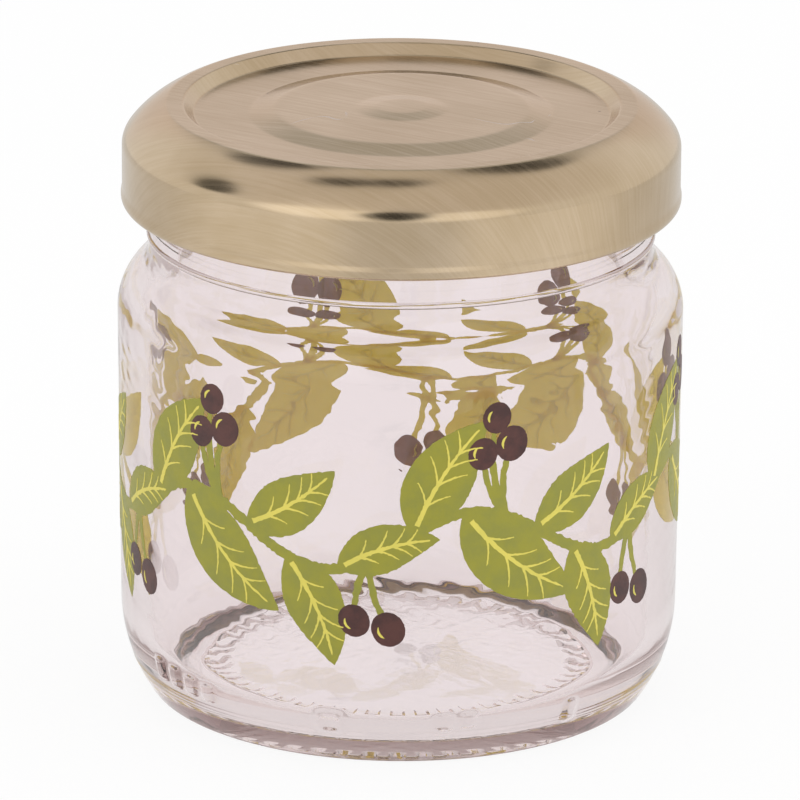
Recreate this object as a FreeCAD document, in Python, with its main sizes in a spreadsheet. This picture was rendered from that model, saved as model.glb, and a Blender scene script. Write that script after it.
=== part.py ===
"""Small glass spice jar with a pressed twist-off lid.

Millimetres, +Z up, origin at the middle of the base on the surface that the jar stands on.
The jar, the lid, the lid's snapping button and the sealing ring are separate bodies.
"""
import FreeCAD, Part
import math
import os
import Sketcher

FULL_TURN = 360

# Every driving size: its value and what it measures.
SIZES = {
    # Glass jar
    "rim_height": (59.3, "top of the glass rim above the base"),
    "neck_radius": (25.25, "outside of the glass neck"),
    "neck_length": (13.3, "rim down to where the neck starts to flare"),
    "neck_fillet": (2.3, "hollow curve from the neck into the shoulder"),
    "shoulder_step": (3.2, "how far the body stands out past the neck, under the shoulder"),
    "shoulder_radius": (6.0, "round curve from the shoulder into the body"),
    "body_draft": (0.25, "how much the body's radius shrinks from the shoulder to the heel"),
    "wall": (2.9, "thickness of the glass wall"),
    "rim_round": (1.0, "rounding of the rim's two edges"),
    "seam_rise": (0.7, "neck flare up to the lower edge of the parting ridge"),
    "seam_height": (0.7, "height of the parting ridge round the neck"),
    "seam_bulge": (0.2, "how far the parting ridge stands out"),
    "heel_radius": (15.9, "large curve from the body in towards the foot"),
    "heel_turn": (34.0, "degrees that the large heel curve turns"),
    "foot_radius": (0.75, "small curve from the heel onto the base"),
    "bearing_width": (4.5, "flat ring that the jar stands on"),
    "pushup_height": (0.45, "base inside the flat ring above the table"),
    "pushup_run": (0.6, "slope from the flat ring up to the base"),
    "pushup_crown": (1.6, "extra rise of the base at its middle"),
    "floor_height": (2.2, "edge of the inside floor above the table"),
    "floor_crown": (1.4, "extra rise of the inside floor at its middle"),
    "inner_corner": (6.0, "curve from the inside wall to the floor"),
    "knurl_count": (48, "moulded bars round the underside"),
    "knurl_length": (1.9, "length of a bar along the radius"),
    "knurl_width": (1.1, "width of a bar"),
    "knurl_drop": (0.3, "how far a bar stands down from the base"),
    "knurl_inset": (0.2, "start of the bars inside the slope of the base"),
    "sink": (0.5, "how far an added feature reaches into what it grows from"),
    # Thread, shared by the jar and the lid's lugs
    "thread_depth": (1.15, "how far the thread stands out of the neck"),
    "thread_height": (1.3, "height of the thread where it meets the neck"),
    "thread_slope": (0.45, "fall of the thread's upper side towards its crest"),
    "thread_lead": (14.0, "rise of the lid in one full turn"),
    "thread_span": (100.0, "degrees round the neck that one thread covers"),
    "thread_count": (4, "threads round the neck, and lugs round the lid"),
    # Lid
    "sheet": (0.2, "thickness of the lid's metal"),
    "skirt_gap": (1.4, "inside of the skirt out from the thread's crest"),
    "lid_height": (10.0, "lower edge of the lid up to its stacking ring"),
    "lid_corner": (1.1, "rounding between the lid's shoulder and its skirt"),
    "lid_shoulder": (9.4, "radius of the lid's sloping shoulder in section"),
    "shoulder_start": (21.5, "degrees of slope where the shoulder leaves the ring"),
    "shoulder_end": (52.5, "degrees of slope where the shoulder meets the corner"),
    "ring_width": (1.65, "flat top of the stacking ring"),
    "panel_depth": (1.1, "sunk panel below the stacking ring"),
    "panel_run": (1.6, "slope from the stacking ring down to the panel"),
    "curl_radius": (0.65, "outside radius of the rolled lower edge"),
    "curl_gap": (0.1, "free end of the roll clear of its own top"),
    "lug_height": (0.9, "height of a lug"),
    "lug_rise": (0.2, "lower edge of the lid up to a lug"),
    "lug_span": (16.0, "degrees round the lid that one lug covers"),
    "lug_clearance": (0.35, "lug clear of the neck"),
    "lug_play": (0.2, "lug clear of the thread above it"),
    "lug_nose": (0.35, "rounding of a lug's inner edge"),
    # Button
    "button_radius": (12.6, "flat top of the button"),
    "button_run": (2.6, "slope from the button's top down to the panel"),
    "button_rise": (0.5, "top of the button above the panel"),
    "button_clearance": (0.1, "button clear of the panel round it"),
    "boss_radius": (4.1, "top of the small boss on the button"),
    "boss_run": (1.9, "slope from the boss down to the button's top"),
    "boss_rise": (0.3, "top of the boss above the button"),
    # Sealing ring
    "gasket_thickness": (0.9, "thickness of the sealing ring over the rim"),
    "gasket_inset": (0.2, "sealing ring's inner edge past the stacking ring's"),
    "seal_clearance": (0.1, "sealing ring clear of the rim and of the lid"),
}


class Size:
    """A number together with the spreadsheet expression that gives it."""

    def __init__(self, value, text):
        self.value = value
        self.text = text

    def __add__(self, other):
        return Size(self.value + other.value, f"({self.text} + {other.text})")

    def __sub__(self, other):
        return Size(self.value - other.value, f"({self.text} - {other.text})")

    def __mul__(self, other):
        return Size(self.value * other.value, f"({self.text} * {other.text})")

    def __truediv__(self, other):
        return Size(self.value / other.value, f"({self.text} / {other.text})")


def count(number):
    """A plain count or factor, written into expressions as it is."""
    return Size(number, str(number))


def sine(degrees):
    return Size(math.sin(math.radians(degrees.value)), f"sin({degrees.text} * 1deg)")


def cosine(degrees):
    return Size(math.cos(math.radians(degrees.value)), f"cos({degrees.text} * 1deg)")


def root(square):
    return Size(math.sqrt(square.value), f"sqrt({square.text})")


def leg(hypotenuse, other_leg):
    """The remaining side of a right triangle."""
    return root(hypotenuse * hypotenuse - other_leg * other_leg)


def bow_radius(chord_half, bulge):
    """Radius of the arc that bulges by this much over half a chord."""
    return (chord_half * chord_half + bulge * bulge) / (count(2) * bulge)


def make_sheet(doc):
    """The spreadsheet of driving sizes, and a Size for each of its cells."""
    sheet = doc.addObject("Spreadsheet::Sheet", "Sizes")
    cells = {}
    for row, (alias, (value, meaning)) in enumerate(SIZES.items(), start=1):
        sheet.set(f"A{row}", meaning)
        sheet.set(f"B{row}", str(value))
        sheet.setAlias(f"B{row}", alias)
        cells[alias] = Size(value, f"Sizes.{alias}")
    doc.recompute()
    return cells


def origin_feature(body, role):
    for feature in body.Origin.OriginFeatures:
        if feature.Role == role:
            return feature
    raise ValueError(f"{body.Label} has no {role}")


def arc_between(start, end, radius, clockwise):
    """Arc of up to half a circle from start to end; FreeCAD keeps arcs anticlockwise."""
    if clockwise:
        start, end = end, start
    chord = end - start
    across = FreeCAD.Vector(-chord.y, chord.x, 0) / chord.Length
    reach = math.sqrt(max(radius * radius - chord.Length * chord.Length / 4, 0))
    centre = (start + end) / 2 + across * reach
    first = math.atan2(start.y - centre.y, start.x - centre.x)
    last = math.atan2(end.y - centre.y, end.x - centre.x)
    if last < first:
        last += math.tau
    return Part.ArcOfCircle(Part.Circle(centre, FreeCAD.Vector(0, 0, 1), radius), first, last)


def draw_outline(body, name, steps):
    """A closed sketch on the body's XZ plane, with every corner and radius bound to the sheet.

    Each step is (radius from the axis, height), reached by a line, or has the arc's radius and
    "left" or "right", the way it turns, after them. The last step leads back to the first.
    """
    sketch = body.newObject("Sketcher::SketchObject", name)
    sketch.AttachmentSupport = [(origin_feature(body, "XZ_Plane"), "")]
    sketch.MapMode = "FlatFace"
    corners = [FreeCAD.Vector(step[0].value, step[1].value, 0) for step in steps]
    begin_end = []
    for number, step in enumerate(steps):
        start = corners[number - 1]
        end = corners[number]
        if len(step) == 2:
            sketch.addGeometry(Part.LineSegment(start, end))
            begin_end.append((1, 2))
            continue
        clockwise = step[3] == "right"
        sketch.addGeometry(arc_between(start, end, step[2].value, clockwise))
        begin_end.append((2, 1) if clockwise else (1, 2))
    for number, step in enumerate(steps):
        following = (number + 1) % len(steps)
        finish = begin_end[number][1]
        sketch.addConstraint(
            Sketcher.Constraint("Coincident", number, finish, following, begin_end[following][0])
        )
        for kind, along, axis in (("DistanceX", step[0], -2), ("DistanceY", step[1], -1)):
            if along.text == "0":
                sketch.addConstraint(Sketcher.Constraint("PointOnObject", number, finish, axis))
                continue
            index = sketch.addConstraint(Sketcher.Constraint(kind, number, finish, along.value))
            sketch.setExpression(f"Constraints[{index}]", along.text)
        if len(step) > 2:
            index = sketch.addConstraint(Sketcher.Constraint("Radius", number, step[2].value))
            sketch.setExpression(f"Constraints[{index}]", step[2].text)
    return sketch


def revolve(body, name, sketch, degrees=None):
    """Turn a sketch about the body's upright axis, all the way round unless told otherwise."""
    feature = body.newObject("PartDesign::Revolution", name)
    feature.Profile = sketch
    feature.ReferenceAxis = (sketch, ["V_Axis"])
    feature.Angle = FULL_TURN
    if degrees is not None:
        feature.setExpression("Angle", f"{degrees.text} * 1deg")
    return feature


def repeat_round(body, name, feature, copies):
    """Copies of a feature, evenly spaced round the upright axis."""
    pattern = body.newObject("PartDesign::PolarPattern", name)
    pattern.Originals = [feature]
    pattern.Axis = (origin_feature(body, "Z_Axis"), [""])
    pattern.Angle = FULL_TURN
    pattern.setExpression("Occurrences", copies.text)
    body.Tip = pattern
    return pattern


def new_body(doc, label):
    body = doc.addObject("PartDesign::Body", label)
    body.Label = label
    return body


def make_glass_jar(doc, s, place):
    """One piece of moulded glass, threaded under its rim."""
    body = new_body(doc, "glass_jar")
    zero = count(0)
    bore = s["neck_radius"] - s["wall"]
    inside = place["body_radius"] - s["wall"]
    heel_body = place["body_radius"] - s["body_draft"]
    heel_inside = inside - s["body_draft"]
    flare_foot = place["flare_top"] - place["flare_sine"] * (s["neck_fillet"] + s["shoulder_radius"])
    flare_middle = place["flare_top"] - place["flare_sine"] * s["neck_fillet"]
    fillet_run = s["neck_fillet"] * (count(1) - place["flare_cosine"])
    inner_fillet = s["neck_fillet"] + s["wall"]
    inner_shoulder = s["shoulder_radius"] - s["wall"]
    inner_run = inner_fillet * (count(1) - place["flare_cosine"])
    inner_middle = place["flare_top"] - place["flare_sine"] * inner_fillet

    knee_radius = heel_body - s["heel_radius"] * (count(1) - cosine(s["heel_turn"]))
    knee_height = s["foot_radius"] * (count(1) - sine(s["heel_turn"]))
    heel_top = knee_height + s["heel_radius"] * sine(s["heel_turn"])
    bearing_outer = knee_radius - s["foot_radius"] * cosine(s["heel_turn"])
    bearing_inner = bearing_outer - s["bearing_width"]
    pushup_edge = bearing_inner - s["pushup_run"]
    floor_edge = heel_inside - s["inner_corner"]
    seam_foot = place["flare_top"] + s["seam_rise"]
    half_seam = s["seam_height"] / count(2)

    outline = [
        # Underside, from the middle out to the foot
        (zero, s["pushup_height"] + s["pushup_crown"]),
        (pushup_edge, s["pushup_height"], bow_radius(pushup_edge, s["pushup_crown"]), "right"),
        (bearing_inner, zero),
        (bearing_outer, zero),
        # Outside, from the foot up to the rim
        (knee_radius, knee_height, s["foot_radius"], "left"),
        (heel_body, heel_top, s["heel_radius"], "left"),
        (place["body_radius"], flare_foot),
        (s["neck_radius"] + fillet_run, flare_middle, s["shoulder_radius"], "left"),
        (s["neck_radius"], place["flare_top"], s["neck_fillet"], "right"),
        (s["neck_radius"], seam_foot),
        (s["neck_radius"], seam_foot + s["seam_height"], bow_radius(half_seam, s["seam_bulge"]), "left"),
        (s["neck_radius"], s["rim_height"] - s["rim_round"]),
        (s["neck_radius"] - s["rim_round"], s["rim_height"], s["rim_round"], "left"),
        # Inside, from the rim down to the middle of the floor
        (bore + s["rim_round"], s["rim_height"]),
        (bore, s["rim_height"] - s["rim_round"], s["rim_round"], "left"),
        (bore, place["flare_top"]),
        (bore + inner_run, inner_middle, inner_fillet, "left"),
        (inside, flare_foot, inner_shoulder, "right"),
        (heel_inside, s["floor_height"] + s["inner_corner"]),
        (floor_edge, s["floor_height"], s["inner_corner"], "right"),
        (zero, s["floor_height"] + s["floor_crown"], bow_radius(floor_edge, s["floor_crown"]), "left"),
    ]
    revolve(body, "glass_turned", draw_outline(body, "glass_outline", outline))

    # Bars under the base, each a short rib along the radius
    bar_outer = pushup_edge - s["knurl_inset"]
    bar_inner = bar_outer - s["knurl_length"]
    bar_low = s["pushup_height"] - s["knurl_drop"]
    bar_high = s["pushup_height"] + s["sink"]
    bar_outline = [
        (bar_inner, bar_low),
        (bar_outer, bar_low),
        (bar_outer, bar_high),
        (bar_inner, bar_high),
    ]
    bar = body.newObject("PartDesign::Pad", "base_bar")
    bar.Profile = draw_outline(body, "bar_outline", bar_outline)
    bar.SideType = "Symmetric"
    bar.setExpression("Length", s["knurl_width"].text)
    repeat_round(body, "base_bars", bar, s["knurl_count"])

    # Slanted threads that the lid's lugs slide under
    root_radius = s["neck_radius"] - s["sink"]
    crest_radius = place["crest_radius"]
    thread_top = place["thread_foot"] + s["thread_height"]
    thread_outline = [
        (root_radius, place["thread_foot"]),
        (crest_radius, place["thread_foot"]),
        (crest_radius, thread_top - s["thread_slope"]),
        (s["neck_radius"], thread_top),
        (root_radius, thread_top),
    ]
    profile = draw_outline(body, "thread_outline", thread_outline)
    thread = body.newObject("PartDesign::AdditiveHelix", "thread")
    thread.Profile = profile
    thread.ReferenceAxis = (profile, ["V_Axis"])
    thread.Mode = "pitch-height-angle"
    thread.setExpression("Pitch", s["thread_lead"].text)
    thread.setExpression("Height", place["thread_rise"].text)
    repeat_round(body, "threads", thread, s["thread_count"])
    return body


def make_lid_shell(doc, s, place):
    """One pressed sheet: stacking ring, sunk panel, shoulder, skirt, rolled edge and lugs."""
    body = new_body(doc, "lid_shell")
    skirt = place["skirt_radius"]
    panel_edge = place["ring_inner"] - s["panel_run"]
    panel_top = place["ring_top"] - s["panel_depth"]
    hole = place["button_foot"] + s["button_clearance"]
    under = s["sheet"]
    inner_shoulder = s["lid_shoulder"] - under
    inner_corner = s["lid_corner"] - under
    corner_inset = s["lid_corner"] * (count(1) - sine(s["shoulder_end"]))
    corner_drop = s["lid_corner"] * cosine(s["shoulder_end"])
    inner_corner_inset = inner_corner * (count(1) - sine(s["shoulder_end"]))
    skirt_top = place["skirt_top"]
    curl_centre = skirt - s["curl_radius"]
    curl_height = place["lid_bottom"] + s["curl_radius"]
    roll = s["curl_radius"] - under
    roll_end = s["curl_radius"] - s["curl_gap"] - under

    outline = [
        # Upper side, from the panel's hole out to the skirt
        (hole, panel_top - under),
        (hole, panel_top),
        (panel_edge, panel_top),
        (place["ring_inner"], place["ring_top"]),
        (place["ring_outer"], place["ring_top"]),
        (skirt - corner_inset, skirt_top + corner_drop, s["lid_shoulder"], "right"),
        (skirt, skirt_top, s["lid_corner"], "right"),
        # Skirt and the outside of the roll, which turns in and up again
        (skirt, curl_height),
        (curl_centre, place["lid_bottom"], s["curl_radius"], "right"),
        (curl_centre - s["curl_radius"], curl_height, s["curl_radius"], "right"),
        (curl_centre, curl_height + s["curl_radius"] - s["curl_gap"], s["curl_radius"], "right"),
        # Inside of the roll and of the skirt, back to the panel
        (curl_centre, curl_height + roll_end),
        (curl_centre - roll, curl_height, roll, "left"),
        (curl_centre, place["lid_bottom"] + under, roll, "left"),
        (skirt - under, curl_height, roll, "left"),
        (skirt - under, skirt_top),
        (skirt - under - inner_corner_inset, skirt_top + inner_corner * cosine(s["shoulder_end"]),
         inner_corner, "left"),
        (place["ring_outer"] - under * sine(s["shoulder_start"]),
         place["ring_top"] - under * cosine(s["shoulder_start"]), inner_shoulder, "left"),
        (place["ring_outer"] - under, place["ring_top"] - under),
        (place["ring_inner"], place["ring_top"] - under),
        (panel_edge, panel_top - under),
    ]
    revolve(body, "lid_pressed", draw_outline(body, "lid_outline", outline))

    # Lugs, where the roll is pressed flat and inwards
    lug_low = place["lid_bottom"] + s["lug_rise"]
    lug_high = lug_low + s["lug_height"]
    lug_inner = s["neck_radius"] + s["lug_clearance"]
    lug_outline = [
        (curl_centre, lug_low),
        (curl_centre, lug_high),
        (lug_inner + s["lug_nose"], lug_high),
        (lug_inner, lug_high - s["lug_nose"], s["lug_nose"], "left"),
        (lug_inner, lug_low + s["lug_nose"]),
        (lug_inner + s["lug_nose"], lug_low, s["lug_nose"], "left"),
    ]
    lug = revolve(body, "lug", draw_outline(body, "lug_outline", lug_outline), s["lug_span"])
    repeat_round(body, "lugs", lug, s["thread_count"])
    return body


def make_safety_button(doc, s, place):
    """The raised middle of the lid, which snaps down and clicks back."""
    body = new_body(doc, "safety_button")
    zero = count(0)
    panel_top = place["ring_top"] - s["panel_depth"]
    button_top = panel_top + s["button_rise"]
    boss_top = button_top + s["boss_rise"]
    boss_foot = s["boss_radius"] + s["boss_run"]
    under = s["sheet"]
    outline = [
        (zero, boss_top - under),
        (zero, boss_top),
        (s["boss_radius"], boss_top),
        (boss_foot, button_top),
        (s["button_radius"], button_top),
        (place["button_foot"], panel_top),
        (place["button_foot"], panel_top - under),
        (s["button_radius"], button_top - under),
        (boss_foot, button_top - under),
        (s["boss_radius"], boss_top - under),
    ]
    revolve(body, "button_pressed", draw_outline(body, "button_outline", outline))
    return body


def make_lid_gasket(doc, s, place):
    """Soft ring in the lid's channel, shaped to the rim below it and the metal above it."""
    body = new_body(doc, "lid_gasket")
    top_radius = s["lid_shoulder"] - s["sheet"] - s["seal_clearance"]
    arc_centre_radius = place["ring_outer"] - s["lid_shoulder"] * sine(s["shoulder_start"])
    arc_centre_height = place["ring_top"] - s["lid_shoulder"] * cosine(s["shoulder_start"])
    rim_radius = s["rim_round"] + s["seal_clearance"]
    rim_centre = s["neck_radius"] - s["rim_round"]
    low = s["rim_height"] + s["seal_clearance"]
    high = low + s["gasket_thickness"]
    inner = place["ring_inner"] + s["gasket_inset"]
    outer = s["neck_radius"]
    outline = [
        (inner, low),
        (rim_centre, low),
        (outer, s["rim_height"] - s["rim_round"] + leg(rim_radius, s["rim_round"]), rim_radius, "right"),
        (outer, arc_centre_height + leg(top_radius, outer - arc_centre_radius)),
        (arc_centre_radius + leg(top_radius, high - arc_centre_height), high, top_radius, "left"),
        (inner, high),
    ]
    revolve(body, "gasket_cast", draw_outline(body, "gasket_outline", outline))
    return body


def shared_places(s):
    """Places that more than one piece follows, worked out from the driving sizes."""
    place = {}
    place["body_radius"] = s["neck_radius"] + s["shoulder_step"]
    place["flare_top"] = s["rim_height"] - s["neck_length"]
    place["flare_cosine"] = count(1) - s["shoulder_step"] / (s["neck_fillet"] + s["shoulder_radius"])
    place["flare_sine"] = leg(count(1), place["flare_cosine"])
    place["crest_radius"] = s["neck_radius"] + s["thread_depth"]
    place["skirt_radius"] = place["crest_radius"] + s["skirt_gap"] + s["sheet"]
    seal = s["gasket_thickness"] + s["seal_clearance"] + s["seal_clearance"]
    place["ring_top"] = s["rim_height"] + seal + s["sheet"]
    place["lid_bottom"] = place["ring_top"] - s["lid_height"]
    shoulder_run = s["lid_shoulder"] * (sine(s["shoulder_end"]) - sine(s["shoulder_start"]))
    shoulder_drop = s["lid_shoulder"] * (cosine(s["shoulder_start"]) - cosine(s["shoulder_end"]))
    corner_run = s["lid_corner"] * (count(1) - sine(s["shoulder_end"]))
    corner_drop = s["lid_corner"] * cosine(s["shoulder_end"])
    place["ring_outer"] = place["skirt_radius"] - corner_run - shoulder_run
    place["ring_inner"] = place["ring_outer"] - s["ring_width"]
    place["skirt_top"] = place["ring_top"] - shoulder_drop - corner_drop
    place["button_foot"] = s["button_radius"] + s["button_run"]
    lug_top = place["lid_bottom"] + s["lug_rise"] + s["lug_height"]
    place["thread_foot"] = lug_top + s["lug_play"]
    place["thread_rise"] = s["thread_lead"] * s["thread_span"] / count(FULL_TURN)
    return place


def check_objects(doc, bodies):
    """Stop with a message where anything failed to build."""
    for thing in doc.Objects:
        if "Invalid" in thing.State or "Error" in thing.State:
            raise RuntimeError(f"{thing.Label} failed: {thing.State}")
    for body in bodies:
        if body.Shape.isNull() or not body.Shape.isValid():
            raise RuntimeError(f"{body.Label} has no valid shape")
        if len(body.Shape.Solids) != 1:
            raise RuntimeError(f"{body.Label} came out as {len(body.Shape.Solids)} solids")


def main():
    doc = FreeCAD.newDocument("spice_jar")
    s = make_sheet(doc)
    place = shared_places(s)
    bodies = [
        make_glass_jar(doc, s, place),
        make_lid_shell(doc, s, place),
        make_safety_button(doc, s, place),
        make_lid_gasket(doc, s, place),
    ]
    doc.recompute()
    check_objects(doc, bodies)
    os.makedirs("parts", exist_ok=True)
    for body in bodies:
        body.Shape.exportStep(f"parts/{body.Label}.step")
        box = body.Shape.optimalBoundingBox()
        print(f"{body.Label}: {body.Shape.Volume:.1f} mm3, z {box.ZMin:.2f} to {box.ZMax:.2f}, "
              f"width {box.XLength:.2f}")


main()
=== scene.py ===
import math
from types import SimpleNamespace

import bmesh
import bpy
import numpy as np
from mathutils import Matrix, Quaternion, Vector


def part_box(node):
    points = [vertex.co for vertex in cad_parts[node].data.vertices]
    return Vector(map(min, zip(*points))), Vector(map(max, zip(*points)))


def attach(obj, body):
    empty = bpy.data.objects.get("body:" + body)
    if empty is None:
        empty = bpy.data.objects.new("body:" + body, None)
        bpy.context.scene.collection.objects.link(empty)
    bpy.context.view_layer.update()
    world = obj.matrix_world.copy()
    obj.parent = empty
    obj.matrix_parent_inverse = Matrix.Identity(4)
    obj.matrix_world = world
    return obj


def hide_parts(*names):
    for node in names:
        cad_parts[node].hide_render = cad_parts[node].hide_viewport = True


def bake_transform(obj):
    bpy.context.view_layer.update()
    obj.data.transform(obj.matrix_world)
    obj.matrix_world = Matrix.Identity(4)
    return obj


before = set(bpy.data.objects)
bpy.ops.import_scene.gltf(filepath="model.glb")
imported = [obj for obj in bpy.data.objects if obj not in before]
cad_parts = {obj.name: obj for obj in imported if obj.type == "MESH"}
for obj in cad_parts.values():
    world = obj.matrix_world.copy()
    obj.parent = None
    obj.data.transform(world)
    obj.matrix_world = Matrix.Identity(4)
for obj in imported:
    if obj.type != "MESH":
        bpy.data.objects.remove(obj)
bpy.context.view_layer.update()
print("frame loaded:", ", ".join(sorted(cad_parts)))

mm = 0.001  # sizes in this file are millimetres, the scene is in metres
fullTurn = 2 * math.pi
frontAngle = -math.pi / 2  # the side that faces the camera


def named(values):
    # a dictionary's values, to be read by a dot
    return SimpleNamespace(**values)


def toLinear(red, green, blue):
    # a screen colour, 0 to 255, as the linear colour that shaders take
    screen = np.array([red, green, blue]) / 255
    linear = np.where(screen <= 0.04045, screen / 12.92, ((screen + 0.055) / 1.055) ** 2.4)
    return (*(float(part) for part in linear), 1.0)


def smoothStep(low, high, value):
    part = np.clip((value - low) / (high - low), 0, 1)
    return part * part * (3 - 2 * part)


def window(value, start, startFull, endFull, end):
    # rises to 1 between the first two places and falls back to 0 between the last two
    return smoothStep(start, startFull, value) * smoothStep(end, endFull, value)


def cadSize(node):
    # outside radius, lowest and highest point of a CAD piece, in millimetres
    low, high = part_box(node)
    return high.x / mm, low.z / mm, high.z / mm


# Outlines

def bendTo(start, end, radius, turn, spacing):
    # points after start along an arc of up to half a circle
    chord = end - start
    length = np.hypot(*chord)
    side = 1 if turn == "left" else -1
    across = side * np.array([-chord[1], chord[0]]) / length
    centre = (start + end) / 2 + across * math.sqrt(max(radius ** 2 - length ** 2 / 4, 0))
    first = math.atan2(start[1] - centre[1], start[0] - centre[0])
    sweep = side * 2 * math.asin(min(1, length / (2 * radius)))
    steps = max(3, math.ceil(abs(sweep) * radius / spacing))
    angles = first + sweep * np.arange(1, steps + 1) / steps
    return centre + radius * np.column_stack([np.cos(angles), np.sin(angles)])


def traceOutline(start, moves):
    # a move is (radius, height, spacing), with the arc's radius and turn after them if it bends
    stretches = [np.array([start], float)]
    for across, up, spacing, *bend in moves:
        last = stretches[-1][-1]
        end = np.array([across, up], float)
        if bend:
            stretches.append(bendTo(last, end, *bend, spacing))
            continue
        steps = max(1, math.ceil(np.hypot(*(end - last)) / spacing))
        share = np.arange(1, steps + 1)[:, None] / steps
        stretches.append(last + (end - last) * share)
    return np.concatenate(stretches)


def easeCorners(outline, passes):
    # rounds the creases of a finely spaced outline, whose ends stay
    eased = outline.copy()
    for _ in range(passes):
        eased[1:-1] = eased[1:-1] / 2 + (eased[:-2] + eased[2:]) / 4
    return eased


def alongOutline(outline):
    return np.concatenate([[0], np.cumsum(np.hypot(*np.diff(outline, axis=0).T))])


def thicken(outline, thickness):
    # the second side of a sheet, to the right of the way the outline runs
    run = np.gradient(outline, axis=0)
    run /= np.hypot(*run.T)[:, None]
    return outline + thickness * np.column_stack([run[:, 1], -run[:, 0]])


# Meshes

def addObject(name, data):
    holder = bpy.data.objects.new(name, data)
    bpy.context.scene.collection.objects.link(holder)
    return holder


def finishPiece(name, points, faces, materials, faceSlots=None, flatAngle=50):
    mesh = bpy.data.meshes.new(name)
    mesh.from_pydata(points.tolist(), [], faces)
    shell = bmesh.new()
    shell.from_mesh(mesh)
    bmesh.ops.recalc_face_normals(shell, faces=shell.faces)
    shell.to_mesh(mesh)
    shell.free()
    mesh.polygons.foreach_set("use_smooth", [True] * len(mesh.polygons))
    mesh.set_sharp_from_angle(angle=math.radians(flatAngle))
    for material in materials:
        mesh.materials.append(material)
    if faceSlots is not None:
        mesh.polygons.foreach_set("material_index", faceSlots)
    return addObject(name, mesh)


def aroundAxis(radii, heights, angles):
    return np.stack([radii * np.cos(angles), radii * np.sin(angles), heights], axis=-1).reshape(-1, 3)


def turnPiece(name, outline, segments, materials, loop=False, reshape=None, rowSlots=None, reach=None,
              grain=None):
    # turns an outline about the upright axis; rows that lie on the axis become one point
    angles = fullTurn * np.arange(segments) / segments
    radii = np.repeat(outline[:, :1], segments, axis=1)
    heights = np.repeat(outline[:, 1:], segments, axis=1)
    if reshape:
        radii, heights = reshape(radii, heights, np.broadcast_to(angles, radii.shape))
    points = aroundAxis(radii, heights, angles)
    ids = np.arange(len(points)).reshape(len(outline), segments)
    for row in np.flatnonzero(outline[:, 0] == 0):
        ids[row] = ids[row, 0]
    nextRow = np.roll(ids, -1, axis=0) if loop else ids[1:]
    thisRow = ids if loop else ids[:-1]
    corners = np.stack(
        [thisRow, np.roll(thisRow, -1, axis=1), np.roll(nextRow, -1, axis=1), nextRow], axis=-1
    ).reshape(-1, 4)
    used, packed = np.unique(corners, return_inverse=True)
    faces = [list(dict.fromkeys(face)) for face in packed.reshape(-1, 4).tolist()]
    faceSlots = None if rowSlots is None else np.repeat(rowSlots[:len(thisRow)], segments)
    piece = finishPiece(name, points[used] * mm, faces, materials, faceSlots)
    if reach is not None:
        layFlat(piece, np.repeat(reach, segments)[used], np.tile(angles, len(outline))[used], grain)
    return piece


def layFlat(piece, reach, angle, grain):
    # UVs are the places of the points on the flat sheet before pressing, with V along its brushing
    across = reach * (np.cos(angle) * grain[1] - np.sin(angle) * grain[0])
    along = reach * (np.cos(angle) * grain[0] + np.sin(angle) * grain[1])
    flat = np.column_stack([across, along]) * mm
    corner = np.zeros(len(piece.data.loops), int)
    piece.data.loops.foreach_get("vertex_index", corner)
    layer = piece.data.uv_layers.new(name="flatSheet")
    layer.data.foreach_set("uv", flat[corner].ravel())


# Shader helpers

def newMaterial(name):
    material = bpy.data.materials.new(name)
    material.use_nodes = True
    tree = material.node_tree
    tree.nodes.clear()
    return material, tree


def addNode(tree, kind, inputs=None, **settings):
    node = tree.nodes.new(kind)
    for key, value in settings.items():
        setattr(node, key, value)
    for key, value in (inputs or {}).items():
        socket = node.inputs[key]
        if isinstance(value, bpy.types.NodeSocket):
            tree.links.new(value, socket)
        else:
            socket.default_value = value
    return node


def mathNode(tree, operation, first, second=0.0, clamp=False):
    node = addNode(tree, "ShaderNodeMath", {0: first, 1: second}, operation=operation, use_clamp=clamp)
    return node.outputs[0]


def times(tree, first, second):
    return mathNode(tree, "MULTIPLY", first, second)


def mixColour(tree, share, first, second):
    # the mix node has sockets for other kinds of data between its colour ones
    node = addNode(tree, "ShaderNodeMix", {0: share, 6: first, 7: second}, data_type="RGBA")
    return node.outputs[2]


def vectorNode(tree, operation, first, second=None):
    inputs = {0: first} if second is None else {0: first, 1: second}
    node = addNode(tree, "ShaderNodeVectorMath", inputs, operation=operation)
    return node.outputs["Value" if operation == "DOT_PRODUCT" else "Vector"]


def noiseNode(tree, place, scale, detail, **more):
    node = addNode(tree, "ShaderNodeTexNoise", {"Vector": place, "Scale": scale, "Detail": detail, **more})
    return node.outputs["Fac"]


def bumpNode(tree, height, strength, distance):
    node = addNode(tree, "ShaderNodeBump", {
        "Strength": strength, "Distance": distance * mm, "Height": height,
    })
    return node.outputs[0]


def objectPlace(tree):
    return addNode(tree, "ShaderNodeTexCoord").outputs["Object"]


def spread(tree, value, low, high, toLow=0.0, toHigh=1.0):
    node = addNode(tree, "ShaderNodeMapRange", {
        "Value": value, "From Min": low, "From Max": high, "To Min": toLow, "To Max": toHigh,
    }, interpolation_type="SMOOTHSTEP")
    return node.outputs["Result"]


def newGroup(name, takes, gives):
    group = bpy.data.node_groups.new(name, "ShaderNodeTree")
    for label, kind, value in takes:
        socket = group.interface.new_socket(label, in_out="INPUT", socket_type="NodeSocket" + kind)
        if value is not None:
            socket.default_value = value
    for label, kind in gives:
        group.interface.new_socket(label, in_out="OUTPUT", socket_type="NodeSocket" + kind)
    return group, group.nodes.new("NodeGroupInput").outputs, group.nodes.new("NodeGroupOutput").inputs


def placeGroup(tree, group, inputs):
    return addNode(tree, "ShaderNodeGroup", inputs, node_tree=group).outputs


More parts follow.
